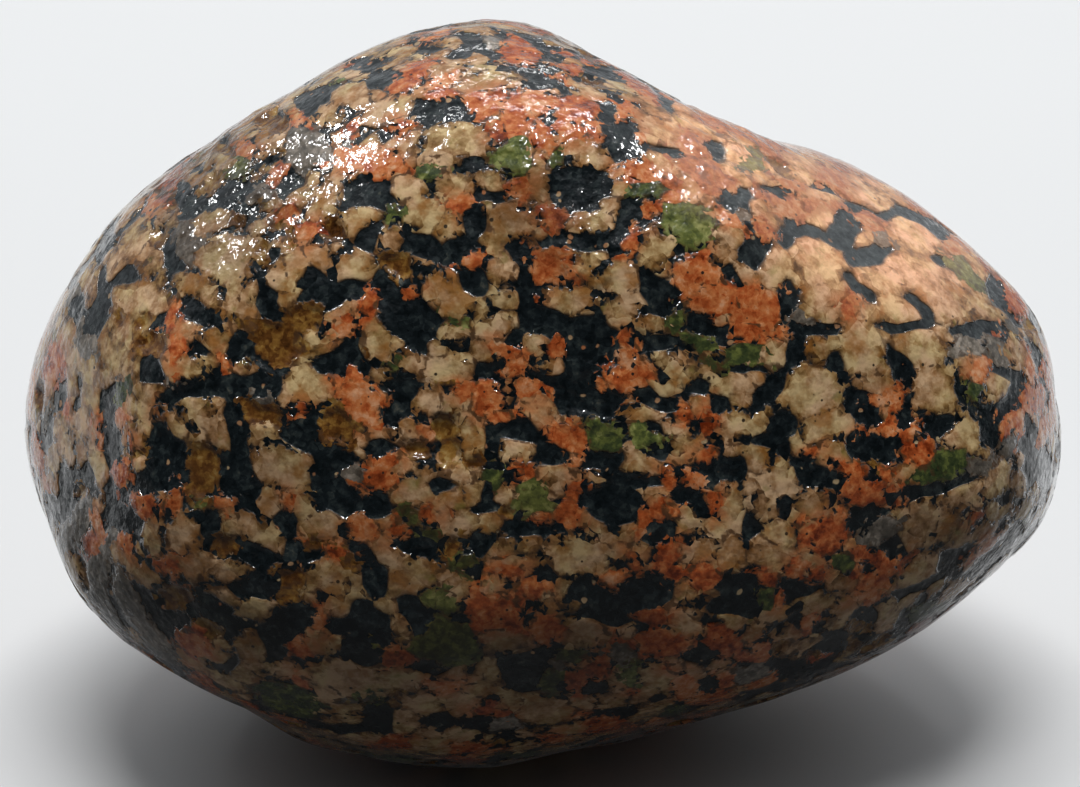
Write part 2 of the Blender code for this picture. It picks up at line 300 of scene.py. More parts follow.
        (526, 290, 40, 8, 88), (335, 358, 26, 11, 38), (333, 403, 18, 5, 30), (400, 388, 14, 8),
        (552, 320, 20, 12), (488, 370, 14, 9, -10), (545, 385, 14, 8), (392, 410, 14, 9),
        (168, 252, 18, 7, 85), (190, 309, 16, 9, -15), (268, 302, 18, 11, -80), (160, 320, 12, 7, 80),
        (150, 371, 14, 12), (236, 350, 14, 10, 60), (232, 383, 16, 13), (266, 385, 14, 9),
        (182, 394, 30, 7, 12), (108, 405, 20, 10, 85), (126, 276, 10, 9), (101, 280, 18, 6, 85),
        (270, 258, 12, 7, 80), (165, 450, 26, 19, 70), (152, 480, 20, 12), (235, 432, 26, 13, 90),
        (238, 482, 22, 20), (210, 524, 10, 8), (255, 557, 22, 10, -20), (120, 516, 16, 15),
        (288, 520, 13, 12), (292, 552, 10, 8), (305, 437, 16, 14), (332, 455, 20, 11), (314, 472, 12, 10),
        (345, 500, 22, 20, -30), (372, 505, 20, 12), (306, 556, 18, 6), (368, 555, 12, 9, -30),
        (377, 580, 13, 15), (378, 449, 12, 9), (442, 487, 14, 8), (487, 508, 15, 7), (420, 545, 20, 13),
        (475, 545, 16, 10), (520, 431, 22, 11), (552, 455, 16, 10), (532, 527, 22, 8), (548, 577, 12, 7),
        (492, 445, 14, 8, 90), (612, 505, 26, 22), (662, 532, 14, 10), (730, 468, 18, 13),
        (814, 470, 20, 12, -20), (765, 443, 20, 7), (752, 527, 14, 7, 85), (690, 497, 16, 10),
        (605, 460, 22, 10), (658, 450, 10, 9), (645, 482, 16, 6), (870, 446, 26, 16), (868, 411, 15, 13),
        (906, 405, 16, 8, 85), (940, 425, 18, 12, 20), (918, 443, 14, 8), (935, 490, 36, 6, 12),
        (870, 512, 22, 7, 8), (990, 425, 16, 9, 80), (1028, 440, 13, 9, 70), (893, 546, 10, 10),
        (825, 478, 14, 8), (905, 565, 11, 7, 35), (950, 560, 24, 7, 35), (925, 585, 30, 6, 25),
        (1000, 548, 32, 8, 42), (740, 590, 22, 14), (645, 590, 30, 16), (800, 590, 20, 10),
        (594, 592, 22, 12), (523, 670, 24, 20), (52, 507, 16, 5, 80), (68, 477, 12, 8), (183, 190, 10, 10),
        (220, 195, 16, 6, 30), (240, 185, 26, 8), (235, 207, 16, 6), (830, 188, 16, 5, -15),
        (857, 207, 14, 9, -15), (892, 210, 12, 10, -10), (842, 218, 14, 10, -10), (910, 215, 20, 6, -30),
        (935, 225, 14, 8, -35), (170, 625, 16, 12, 60), (215, 605, 18, 14, -45), (232, 622, 24, 7, -10),
        (240, 590, 14, 8), (262, 590, 14, 10), (275, 650, 14, 10), (230, 662, 8, 10),
        (145, 652, 20, 5, -30), (175, 668, 24, 6, -25), (370, 625, 24, 20), (335, 625, 10, 8),
        (360, 650, 14, 8), (532, 615, 10, 14), (430, 665, 20, 8), (385, 725, 14, 12), (437, 717, 14, 8),
        (350, 730, 24, 6), (480, 725, 14, 8), (590, 687, 12, 8), (600, 610, 24, 14), (700, 655, 20, 10),
        (735, 602, 26, 16), (790, 670, 14, 8), (705, 687, 12, 8), (870, 618, 14, 6), (903, 625, 16, 8, 70),
        (830, 650, 16, 8), (765, 690, 22, 6, 15), (150, 610, 22, 8, -60),
    ],
}

# Grains strewn over the rest: largest first, each only where there is still room.
strewn = {
    "tries": [3000, 10000, 18000],
    "halfWidth": [(1.1, 1.7), (0.7, 1.2), (0.4, 0.75)],      # mm
    "longest": 1.9,            # most length for a width
    "room": 0.55,              # share of its half width that it keeps clear at its middle
    "shares": {"cream": 0.51, "orange": 0.26, "amber": 0.06, "green": 0.02, "grey": 0.03, "black": 0.12},
}


def wanderingPoints(points):
    # where each point is looked up, so that no rim is a plain oval
    moved = points.copy()
    for wave, swing in grainRules["warps"]:
        for index, point in enumerate(points):
            moved[index] += np.array(noise.noise_vector(Vector(point) / wave)) * swing
    return moved


def growGrain(mineral, centre, along, across, normal, draw):
    # the two pulls turn a point's offset from the centre into shares of the half length and width
    reachOut = along.cross(across)
    return {
        "mineral": mineral,
        "centre": centre,
        "alongPull": np.array(across.cross(normal) / across.cross(normal).dot(along)),
        "acrossPull": np.array(along.cross(normal) / along.cross(normal).dot(across)),
        "radius": math.sqrt(reachOut.length) / mm,
        "reach": max(along.length, across.length) + grainRules["reach"],
        "tone": draw.random(),
        "lobeCount": draw.choice([2, 3, 3, 4, 5]),
        "lobeTurn": draw.uniform(0, math.tau),
    }


def seenGrain(tree, draw, mineral, x, y, halfLength, halfWidth, turn=0):
    eye = eyePoint()
    centre, normal = tree.ray_cast(eye, sightLine(x, y))[:2]
    if centre is None:
        return None
    turned = math.radians(turn)
    pixelSize = (centre - eye).length * view["sensor"] / view["lens"] / view["width"]
    axes = []
    for size, angle in ((halfLength, turned), (halfWidth, turned + math.pi / 2)):
        aim = sightLine(x + size * math.cos(angle), y - size * math.sin(angle))
        axis = intersect_line_plane(eye, eye + aim, centre, normal) - centre
        longest = size * pixelSize * grainRules["steepest"]
        axes.append(axis * min(1.0, longest / axis.length))
    return growGrain(mineral, centre, axes[0], axes[1], normal, draw)


def scoreGrain(field, grain):
    found = field["tree"].find_range(grain["centre"], grain["reach"])
    near = np.array([index for place, index, gap in found], dtype=int)
    if len(near) == 0:
        return
    offset = field["places"][near] - np.array(grain["centre"])
    along = offset @ grain["alongPull"]
    across = offset @ grain["acrossPull"]
    power = grainRules["squareness"]
    ring = (np.abs(along) ** power + np.abs(across) ** power) ** (1 / power)
    turn = np.arctan2(across, along)
    ring *= 1 + grainRules["lobes"] * np.sin(turn * grain["lobeCount"] + grain["lobeTurn"])
    score = (1 - ring) * grain["radius"]
    own = field[grain["mineral"]]
    own[near] = np.maximum(own[near], score)
    first = field["first"][near]
    wins = score > first
    field["second"][near] = np.where(wins, first, np.maximum(field["second"][near], score))
    field["first"][near] = np.where(wins, score, first)
    field["tone"][near] = np.where(wins, grain["tone"], field["tone"][near])


def strewGrains(field, points, normals, draw):
    minerals = list(strewn["shares"])
    weights = list(strewn["shares"].values())
    count = 0
    for tries, (least, most) in zip(strewn["tries"], strewn["halfWidth"]):
        for attempt in range(tries):
            index = draw.randrange(len(points))
            halfWidth = draw.uniform(least, most)
            if field["first"][index] > -halfWidth * strewn["room"]:
                continue
            normal = Vector(normals[index])
            along = normal.cross(Vector([draw.gauss(0, 1) for axis in range(3)])).normalized()
            across = normal.cross(along)
            longer = draw.uniform(1, strewn["longest"])
            mineral = draw.choices(minerals, weights)[0]
            size = halfWidth * mm
            centre = Vector(points[index])
            scoreGrain(field, growGrain(mineral, centre, along * size * longer, across * size, normal, draw))
            count += 1
    return count


def makeField(mesh):
    noise.seed_set(grainRules["seed"])         # noise vectors would start from the clock
    points = readVectors(mesh.vertices, "co")
    normals = readVectors(mesh.vertex_normals, "vector")
    places = wanderingPoints(points)
    tree = KDTree(len(points))
    for index, place in enumerate(places):
        tree.insert(place, index)
    tree.balance()
    field = {"tree": tree, "places": places}
    for name in list(strewn["shares"]) + ["first", "second"]:
        field[name] = np.full(len(points), grainRules["far"])
    field["tone"] = np.zeros(len(points))
    draw = Random(grainRules["seed"])
    faces = [list(face.vertices) for face in mesh.polygons]
    surface = BVHTree.FromPolygons([Vector(point) for point in points], faces)
    seen = 0
    for mineral, rows in seenGrains.items():
        for row in rows:
            grain = seenGrain(surface, draw, mineral, *row)
            if grain:
                scoreGrain(field, grain)
                seen += 1
    count = strewGrains(field, points, normals, draw)
    print("grains placed:", seen, "seen and", count, "strewn")
    return field, points, normals


field, points, normals = makeField(fine)

# Relief, by moving the skin's points along their normals, in millimetres.
relief = {
    "gap": -0.20,              # score that light grains still hold against the dark filling
    "darkDepth": 0.12,
    "darkSlope": 0.5,          # score over which the step into a dark grain falls
    "pitDepth": 0.35,          # amber grains
    "pitSlope": 0.9,
    "undulation": [(7.0, 0.10), (3.1, 0.05)],                # wave and swing
    "bumps": (2.0, 0.22),      # more of it, where the surface is wet and rough
    "paleGap": -1.0,           # what the pale zones add to the gap
    "zoneFade": (0.55, 1.15),  # shares of a zone's radius, from full to none
    "zoneFacing": (-0.1, 0.25),                              # turn to the camera, from none to full
}

# Rough places of the main side, each a place and a radius in pixels of the picture.
zones = {
    "wetZone": [(250, 185, 110), (500, 95, 130), (710, 170, 80), (590, 400, 45), (590, 250, 40)],
    "paleZone": [(900, 190, 180), (730, 130, 90), (70, 330, 110)],       # with few dark minerals
    # peach creams, also brightened as painted light, with a painted sky reflection on their dark minerals
    "peachZone": [(900, 150, 180), (740, 130, 100)],
    # painted shade: these zones darken the lower front and two patches near the top, where less light falls
    "soakedZone": [(250, 540, 130), (400, 580, 130), (560, 590, 130), (225, 205, 90), (540, 215, 60)],
}


def smoothStep(low, high, value):
    share = np.clip((value - low) / (high - low), 0, 1)
    return share * share * (3 - 2 * share)


def zoneShare(points, normals, places):
    # 1 within a zone, fading to 0 at its rim
    toCamera, upward, rightward = (np.array(axis) for axis in sightFrame())
    offset = points - np.array(eyePoint())
    depth = -(offset @ toCamera)
    scale = view["lens"] / view["sensor"] * view["width"]
    x = view["width"] / 2 + view["rightward"] + offset @ rightward / depth * scale
    y = view["height"] / 2 - offset @ upward / depth * scale
    share = np.zeros(len(points))
    for zoneX, zoneY, radius in places:
        away = np.hypot(x - zoneX, y - zoneY) / radius
        share = np.maximum(share, 1 - smoothStep(*relief["zoneFade"], away))
    return share * smoothStep(*relief["zoneFacing"], normals @ toCamera)


def bestOf(field, names):
    return np.max([field[name] for name in names], axis=0)


def waves(points, wave):
    return np.array([noise.noise(Vector(point) / (wave * mm)) for point in points])


def raiseRelief(mesh, field, points, normals, wet, pale):
    light = bestOf(field, ("cream", "orange", "amber", "green", "grey"))
    lead = light - np.maximum(field["black"], relief["gap"] + relief["paleGap"] * pale)
    rise = -relief["darkDepth"] * (1 - smoothStep(-relief["darkSlope"] / 2, relief["darkSlope"] / 2, lead))
    amberLead = field["amber"] - bestOf(field, ("cream", "orange", "green", "grey", "black"))
    rise -= relief["pitDepth"] * smoothStep(0.0, relief["pitSlope"], amberLead)
    for wave, swing in relief["undulation"]:
        rise += swing * waves(points, wave)
    wave, swing = relief["bumps"]
    rise += swing * wet * waves(points, wave)
    moved = points + normals * rise[:, None] * mm
    moved[:, 2] = np.maximum(moved[:, 2], 0)
    mesh.vertices.foreach_set("co", moved.astype(np.float32).ravel())
    mesh.update()


def writeAttribute(mesh, name, *channels):
    kind, key = ("FLOAT", "value") if len(channels) == 1 else ("FLOAT_COLOR", "color")
    attribute = mesh.attributes.new(name, kind, "POINT")
    attribute.data.foreach_set(key, np.stack(channels, axis=1).astype(np.float32).ravel())


shares = {name: zoneShare(points, normals, places) for name, places in zones.items()}
raiseRelief(fine, field, points, normals, shares["wetZone"], shares["paleZone"])
seam = field["first"] - field["second"]        # nothing where two grains meet
writeAttribute(fine, "lightScores", field["cream"], field["orange"], field["amber"], field["green"])
writeAttribute(fine, "darkScores", field["grey"], field["black"], field["tone"], seam)
for name, share in shares.items():
    writeAttribute(fine, name, share)
print("relief raised")

# Granite, wet and water worn. Waves, cells, heights and scores are in millimetres. A row of four
# is a step: where the thing that is read starts and ends, then the result at each of the two.
granite = {
    "roughness": 0.12,         # the least; the fine pitting adds to it
    "pittingRoughness": 0.25,
    "coarseCell": 1.1,         # size of the crystals that the rims follow
    "coarseSwing": 1.15,       # how far one of them shifts a score
    "fineCell": 0.42,
    "fineSwing": 0.52,
    "driftSwing": 1.2,         # how far smooth noise shifts a score
    "bendSwing": 0.45,         # how far the crystals are bent
    "gapSwing": 0.3,           # how far the fine crystals shift seams and gaps
    "core": (-0.5, 0.9, 0.0, 1.0),           # from the rim of a cream grain to its heart
    "lean": (0.40, 0.60, 0.0, 1.0),          # from yellow creams to peach ones
    "blushEdge": (-1.3, 0.1, 0.0, 1.0),      # creams blush towards an orange grain
    "blushPatch": (0.35, 0.6, 0.15, 0.8),
    "seamPatch": (0.35, 0.65, -0.10, 0.26),  # from shut seams to wide ones
    "seamEdge": (-0.10, 0.16, 0.9, 0.0),
    "seamPale": (0.0, 1.0, 1.0, 0.45),       # fewer in the pale zones
    "rimEdge": (-0.55, 0.05, 0.0, 1.0),      # stained rim of a grain beside the dark minerals
    "rimPatch": (0.35, 0.65, 0.2, 0.9),
    "rimStep": (-0.18, 0.18, 0.09, 0.0),     # drop from a light grain to a dark one
    "paleDark": -0.3,          # what the pale zones add to the dark minerals' scores
    "peachSoftness": 0.30,     # what the peach zones add to the softness of their rims
    # painted light: how strongly the pale veil lies over the peach zones
    "peachPaintedLightVeil": 0.25,
    # painted shade: how far the shaded zones are darkened
    "paintedShadeDepth": 0.4,
    "rippleHeight": 0.10,
    "wetHeight": 0.45,         # more of it, where the surface is wet and rough
    "lightTilt": 0.07,         # how far the face of a crystal leans
    "darkTilt": 0.13,
}

# Shader inputs that are the same all over.
finish = {
    "IOR": 1.45,
    "Specular IOR Level": 0.12,
    "Coat Weight": 1.0,
    "Coat Roughness": 0.05,
    "Coat IOR": 1.36,
}

# Noise: its wave in millimetres, detail and roughness.
clouds = {
    "bend": (0.8, 1, 0.5),
    "drift": (1.5, 2, 0.6),
    "blotch": (1.0, 3, 0.6),
    "creamBlotch": (1.3, 3, 0.62),
    "lean": (3.0, 2, 0.55),
    "moss": (1.9, 3, 0.55),
    "rust": (2.4, 3, 0.6),
    "ripple": (0.8, 2, 0.5),
    "wetRipple": (1.4, 2, 0.4),
    "pitting": (0.5, 3, 0.55),
}

# Each mineral: what its shade is made of, its colours from the darkest to the palest, which of
# the random numbers shake its score, and how soft its rim is as a score.
minerals = {
    "cream": {
        "shade": {"core": 0.40, "tone": 0.30, "blotch": 1.7, "coarse": 0.22, "fine": 0.14},
        "colors": [(0.08, (0.07, 0.034, 0.011)), (0.32, (0.25, 0.14, 0.052)),
                   (0.56, (0.41, 0.262, 0.122)), (0.92, (0.68, 0.51, 0.29))],
        "channel": 0,
    },
    "orange": {
        "shade": {"tone": 0.35, "blotch": 1.4, "coarse": 0.2, "fine": 0.2},
        "colors": [(0.1, (0.15, 0.022, 0.005)), (0.38, (0.42, 0.088, 0.022)),
                   (0.62, (0.58, 0.19, 0.06)), (0.92, (0.70, 0.36, 0.19))],
        "channel": 1,
        "softness": 0.38,
    },
    "amber": {
        "shade": {"tone": 0.3, "blotch": 1.3, "fine": 0.25},
        "colors": [(0.1, (0.03, 0.010, 0.003)), (0.4, (0.13, 0.05, 0.011)),
                   (0.65, (0.28, 0.14, 0.03)), (0.95, (0.44, 0.30, 0.11))],
        "channel": 2,
        "softness": 0.15,
    },
    "green": {
        "shade": {"tone": 0.35, "blotch": 1.3, "fine": 0.25},
        "colors": [(0.1, (0.010, 0.020, 0.010)), (0.45, (0.05, 0.065, 0.022)),
                   (0.7, (0.14, 0.16, 0.04)), (0.95, (0.30, 0.30, 0.10))],
        "channel": 1,
        "softness": 0.12,
    },
    "grey": {
        "shade": {"tone": 0.3, "blotch": 1.2, "fine": 0.25},
        "colors": [(0.1, (0.035, 0.03, 0.025)), (0.5, (0.14, 0.118, 0.092)), (0.9, (0.38, 0.32, 0.26))],
        "channel": 2,
        "softness": 0.15,
    },
    "black": {
        "shade": {"blotch": 1.1, "coarse": 0.2, "fine": 0.25},
        "colors": [(0.25, (0.004, 0.006, 0.007)), (0.55, (0.010, 0.014, 0.016)),
                   (0.76, (0.028, 0.036, 0.036)), (0.9, (0.08, 0.08, 0.065))],
        "channel": 0,
        "softness": 0.10,
    },
}

tints = {
    "yellowLean": (0.90, 0.87, 0.76, 1),     # the leans and the peach cream multiply the creams
    "peachLean": (0.94, 0.82, 0.83, 1),
    # painted light as well as a peach colour: brightens the creams of the peach zones
    "peachCreamAndPaintedLight": (1.85, 1.5, 1.5, 1),
    # painted light: a pale veil over the peach zones
    "peachPaintedLightVeil": (0.88, 0.55, 0.37, 1),
    "blush": (0.52, 0.19, 0.07, 1),
    "brownSeam": (0.16, 0.07, 0.025, 1),
    "darkSeam": (0.012, 0.012, 0.011, 1),
    # painted shade: the dark colour that the shaded zones lean to
    "paintedShade": (0.04, 0.02, 0.01, 1),
    "rim": (0.085, 0.045, 0.02, 1),
    "paintedSkySheen": (0.13, 0.14, 0.14, 1),          # painted reflection of the sky on the dark minerals of the peach zones
    "creamFleck": (0.05, 0.035, 0.02, 1),
    "orangeFleck": (0.035, 0.02, 0.015, 1),
    "creamBit": (0.40, 0.30, 0.17, 1),
    "orangeBit": (0.34, 0.11, 0.04, 1),
}

# Stains of the creams: a step, and the colour.
stains = {
    "moss": ((0.62, 0.74, 0.0, 0.6), (0.20, 0.17, 0.035, 1)),
    "rust": ((0.50, 0.66, 0.0, 0.75), (0.31, 0.125, 0.026, 1)),
}

# Flecks: spacing in millimetres, size as a share of it, and share of the places that hold one.
flecks = {
    "cream": (0.7, 0.22, 0.25),
    "orange": (0.6, 0.26, 0.45),
    "black": (0.95, 0.26, 0.24),
}


def startMaterial(name):
    material = bpy.data.materials.new(name)
    material.use_nodes = True
    tree = material.node_tree
    return material, tree, tree.nodes["Principled BSDF"]


def addNode(tree, kind, values=None, **settings):
    node = tree.nodes.new(kind)
    for name, value in settings.items():
        setattr(node, name, value)
    for name, value in (values or {}).items():
        if isinstance(value, bpy.types.NodeSocket):
            tree.links.new(value, node.inputs[name])
        else:
            node.inputs[name].default_value = value
    return node


def maths(tree, operation, first, second=0.0, third=0.0):
    node = addNode(tree, "ShaderNodeMath", {0: first, 1: second, 2: third}, operation=operation)
    return node.outputs[0]


def vectorMaths(tree, operation, first, second=(0, 0, 0), third=(0, 0, 0)):
    node = addNode(tree, "ShaderNodeVectorMath", {0: first, 1: second, 2: third}, operation=operation)
    return node.outputs[0]


def step(tree, value, low, high, start=0.0, end=1.0):
    values = {"Value": value, "From Min": low, "From Max": high, "To Min": start, "To Max": end}
    return addNode(tree, "ShaderNodeMapRange", values, interpolation_type="SMOOTHSTEP").outputs[0]


def eitherWay(tree, value, size):
    # turns 0 to 1 into a shift of up to half the size either way
    return maths(tree, "MULTIPLY_ADD", value, size, -size / 2)


def mixColor(tree, share, first, second, blend="MIX"):
    node = addNode(tree, "ShaderNodeMix", {0: share, 6: first, 7: second}, data_type="RGBA", blend_type=blend)
    return node.outputs[2]


def channels(tree, color):
    return addNode(tree, "ShaderNodeSeparateColor", {0: color}).outputs


def readAttribute(tree, name):
    return addNode(tree, "ShaderNodeAttribute", attribute_name=name).outputs


def cloud(tree, place, name):
    # gives the noise's value and its three channels
    wave, detail, roughness = clouds[name]
    values = {"Vector": place, "Scale": 1 / (wave * mm), "Detail": detail, "Roughness": roughness}
    node = addNode(tree, "ShaderNodeTexNoise", values)
    return node.outputs["Fac"], node.outputs["Color"]


def crystals(tree, place, size):
    # angular cells, each with three random numbers of its own
    cells = addNode(tree, "ShaderNodeTexVoronoi", {"Vector": place, "Scale": 1 / (size * mm)})
    return channels(tree, cells.outputs["Color"])


def ramp(tree, value, stops):
    node = addNode(tree, "ShaderNodeValToRGB", {"Fac": value})
    elements = node.color_ramp.elements
    while len(elements) < len(stops):
        elements.new(0.5)
    for element, (place, color) in zip(elements, stops):
        element.position = place
        element.color = (*color, 1)
    return node.outputs["Color"]


def stained(tree, place, color, name):
    edge, stain = stains[name]
    return mixColor(tree, step(tree, cloud(tree, place, name)[0], *edge), color, stain)


def flecked(tree, place, color, name, fleckColor):
    # small round flecks of uneven sizes; only some cells hold one
    spacing, size, share = flecks[name]
    cells = addNode(tree, "ShaderNodeTexVoronoi", {"Vector": place, "Scale": 1 / (spacing * mm)})
    red, green = channels(tree, cells.outputs["Color"])[:2]
    rim = maths(tree, "MULTIPLY_ADD", green, size, size * 0.3)
    inside = step(tree, maths(tree, "SUBTRACT", cells.outputs["Distance"], rim), -size * 0.4, 0.0, 1.0, 0.0)
    fleck = maths(tree, "MULTIPLY", inside, maths(tree, "LESS_THAN", red, share))
    return mixColor(tree, fleck, color, fleckColor)


def readStone(tree):
    # what the pattern reads at a point: place, scores, zones, crystals of two sizes and noise
    place = addNode(tree, "ShaderNodeTexCoord").outputs["Object"]
    lightScores = readAttribute(tree, "lightScores")
    darkScores = readAttribute(tree, "darkScores")
    stone = {"place": place, "green": lightScores["Alpha"], "meeting": darkScores["Alpha"]}
    stone["cream"], stone["orange"], stone["amber"] = channels(tree, lightScores["Color"])
    stone["grey"], stone["black"], stone["tone"] = channels(tree, darkScores["Color"])
    for zone in zones:
        stone[zone] = readAttribute(tree, zone)["Fac"]
    # the crystals are bent by noise, so that the rims that follow them are ragged
    bend = vectorMaths(tree, "ADD", cloud(tree, place, "bend")[1], (-0.5, -0.5, -0.5))
    bent = vectorMaths(tree, "MULTIPLY_ADD", bend, (granite["bendSwing"] * mm,) * 3, place)
    stone["bent"] = bent
    stone["coarse"] = crystals(tree, bent, granite["coarseCell"])
    stone["fine"] = crystals(tree, bent, granite["fineCell"])
    stone["drift"] = channels(tree, cloud(tree, place, "drift")[1])
    stone["blotch"] = cloud(tree, place, "blotch")[0]
    return stone


def mineralColor(tree, stone, name, **parts):
    # each part of the shade is counted from its middle, 0.5, and their sum is brought back to 0.5
    parts = {"tone": stone["tone"], "blotch": stone["blotch"], "coarse": stone["coarse"][0],
             "fine": stone["fine"][1], **parts}
    shade = 0.5
    for part, weight in minerals[name]["shade"].items():
        shade = maths(tree, "ADD", shade, eitherWay(tree, parts[part], weight))
    return ramp(tree, shade, minerals[name]["colors"])


def shakenScore(tree, stone, name):
    channel = minerals[name]["channel"]
    shift = maths(tree, "ADD", eitherWay(tree, stone["drift"][channel], granite["driftSwing"]),
                  eitherWay(tree, stone["coarse"][channel], granite["coarseSwing"]))
    shift = maths(tree, "ADD", shift, eitherWay(tree, stone["fine"][channel], granite["fineSwing"]))
    return maths(tree, "ADD", stone[name], shift)


def contest(tree, best, color, rival, rivalColor, softness):
    # the better score takes the colour
    lead = step(tree, maths(tree, "DIVIDE", maths(tree, "SUBTRACT", rival, best), softness), -1, 1)
    return maths(tree, "MAXIMUM", best, rival), mixColor(tree, lead, color, rivalColor), lead


def creamColor(tree, stone, score):
    place = stone["place"]
    core = step(tree, score, *granite["core"])
    color = mineralColor(tree, stone, "cream", core=core, blotch=cloud(tree, place, "creamBlotch")[0])
    lean = step(tree, cloud(tree, place, "lean")[0], *granite["lean"])
    tint = mixColor(tree, lean, tints["yellowLean"], tints["peachLean"])
    color = mixColor(tree, 1.0, color, tint, "MULTIPLY")
    color = stained(tree, place, color, "moss")
    color = stained(tree, place, color, "rust")
    color = flecked(tree, place, color, "cream", tints["creamFleck"])
    # painted light: the creams of the peach zones are brightened as well as made peach
    color = mixColor(tree, stone["peachZone"], color, tints["peachCreamAndPaintedLight"], "MULTIPLY")
    blush = maths(tree, "MULTIPLY", step(tree, stone["orange"], *granite["blushEdge"]),
                  step(tree, stone["drift"][2], *granite["blushPatch"]))
    return mixColor(tree, blush, color, tints["blush"])


def lightMinerals(tree, stone):
    best = shakenScore(tree, stone, "cream")
    color = creamColor(tree, stone, best)
    rivals = {name: mineralColor(tree, stone, name) for name in ("orange", "amber", "green", "grey")}
    rivals["orange"] = flecked(tree, stone["place"], rivals["orange"], "orange", tints["orangeFleck"])
    for name, rivalColor in rivals.items():
        rival = shakenScore(tree, stone, name)
        best, color, lead = contest(tree, best, color, rival, rivalColor, minerals[name]["softness"])
    # painted light: a pale veil over the peach zones
    veil = maths(tree, "MULTIPLY", stone["peachZone"], granite["peachPaintedLightVeil"])
    return best, mixColor(tree, veil, color, tints["peachPaintedLightVeil"])


def addSeams(tree, stone, color):
    # brown or dark seams where two grains meet; then the painted shade zones are darkened, a painted shade on
    # the lower front and on two patches near the top
    meeting = maths(tree, "ADD", stone["meeting"], eitherWay(tree, stone["fine"][2], granite["gapSwing"]))
    meeting = maths(tree, "SUBTRACT", meeting, step(tree, stone["drift"][0], *granite["seamPatch"]))
    seam = maths(tree, "MULTIPLY", step(tree, meeting, *granite["seamEdge"]),
                 step(tree, stone["paleZone"], *granite["seamPale"]))
    tint = mixColor(tree, stone["drift"][1], tints["brownSeam"], tints["darkSeam"])
    color = mixColor(tree, seam, color, tint)
    paintedShadeDepth = maths(tree, "MULTIPLY", stone["soakedZone"], granite["paintedShadeDepth"])
    return mixColor(tree, paintedShadeDepth, color, tints["paintedShade"])


def fillGaps(tree, stone, best, color):
    # a stained brown rim first, then the dark minerals, with broken bits of the light ones; in the peach
    # zones the dark minerals get a painted reflection of the sky
    pale = stone["paleZone"]
    peach = stone["peachZone"]
    gap = maths(tree, "ADD", eitherWay(tree, stone["fine"][2], granite["gapSwing"]), relief["gap"])
    gap = maths(tree, "MULTIPLY_ADD", pale, relief["paleGap"], gap)
    black = maths(tree, "MULTIPLY_ADD", pale, granite["paleDark"], shakenScore(tree, stone, "black"))
    black = maths(tree, "MAXIMUM", black, gap)
    edge = maths(tree, "SUBTRACT", black, best)
    rim = maths(tree, "MULTIPLY", step(tree, edge, *granite["rimEdge"]),
                step(tree, stone["drift"][1], *granite["rimPatch"]))
    color = mixColor(tree, rim, color, tints["rim"])
    bits = mixColor(tree, stone["coarse"][1], tints["creamBit"], tints["orangeBit"])
    filling = flecked(tree, stone["bent"], mineralColor(tree, stone, "black"), "black", bits)
    # painted reflection: the dark minerals of the peach zones are lifted towards the pale sky colour
    filling = mixColor(tree, maths(tree, "MULTIPLY", peach, stone["blotch"]), filling, tints["paintedSkySheen"])
    softness = maths(tree, "MULTIPLY_ADD", peach, granite["peachSoftness"], minerals["black"]["softness"])
    best, color, darkness = contest(tree, best, color, black, filling, softness)
    return color, edge, darkness


def makeSurface(tree, stone, edge, darkness):
    # bumps, and the cleavage: each small crystal leans its own way, the dark ones most
    place = stone["place"]
    height = maths(tree, "MULTIPLY", cloud(tree, place, "ripple")[0], granite["rippleHeight"])
    wetHeight = maths(tree, "MULTIPLY", stone["wetZone"], granite["wetHeight"])
    height = maths(tree, "MULTIPLY_ADD", cloud(tree, place, "wetRipple")[0], wetHeight, height)
    height = maths(tree, "ADD", height, step(tree, edge, *granite["rimStep"]))
    bump = addNode(tree, "ShaderNodeBump", {"Height": height, "Strength": 1.0, "Distance": mm}).outputs[0]
    numbers = {0: stone["coarse"][0], 1: stone["fine"][1], 2: stone["coarse"][2]}
    lean = addNode(tree, "ShaderNodeCombineXYZ", numbers).outputs[0]
    lean = vectorMaths(tree, "ADD", lean, (-0.5, -0.5, -0.5))
    more = granite["darkTilt"] - granite["lightTilt"]
    tilt = maths(tree, "MULTIPLY_ADD", darkness, more, granite["lightTilt"])
    lean = addNode(tree, "ShaderNodeVectorMath", {0: lean, "Scale": tilt}, operation="SCALE").outputs[0]
    return vectorMaths(tree, "NORMALIZE", vectorMaths(tree, "ADD", bump, lean))


def graniteMaterial():
    material, tree, shader = startMaterial("wetGranite")
    stone = readStone(tree)
    best, color = lightMinerals(tree, stone)
    color = addSeams(tree, stone, color)
    color, edge, darkness = fillGaps(tree, stone, best, color)
    surface = makeSurface(tree, stone, edge, darkness)
    pitting = cloud(tree, stone["place"], "pitting")[0]
    roughness = maths(tree, "MULTIPLY_ADD", pitting, granite["pittingRoughness"], granite["roughness"])
    tree.links.new(color, shader.inputs["Base Color"])
    tree.links.new(roughness, shader.inputs["Roughness"])
    tree.links.new(surface, shader.inputs["Normal"])
    tree.links.new(surface, shader.inputs["Coat Normal"])
    for name, value in finish.items():
        shader.inputs[name].default_value = value
    return material


def dressCobble(mesh):
    mesh.shade_smooth()
    mesh.materials.clear()
    mesh.materials.append(graniteMaterial())
    piece = placeObject("graniteSkin", mesh)
    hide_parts("granite_cobble")
    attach(piece, "root")


dressCobble(fine)
print("granite finished")

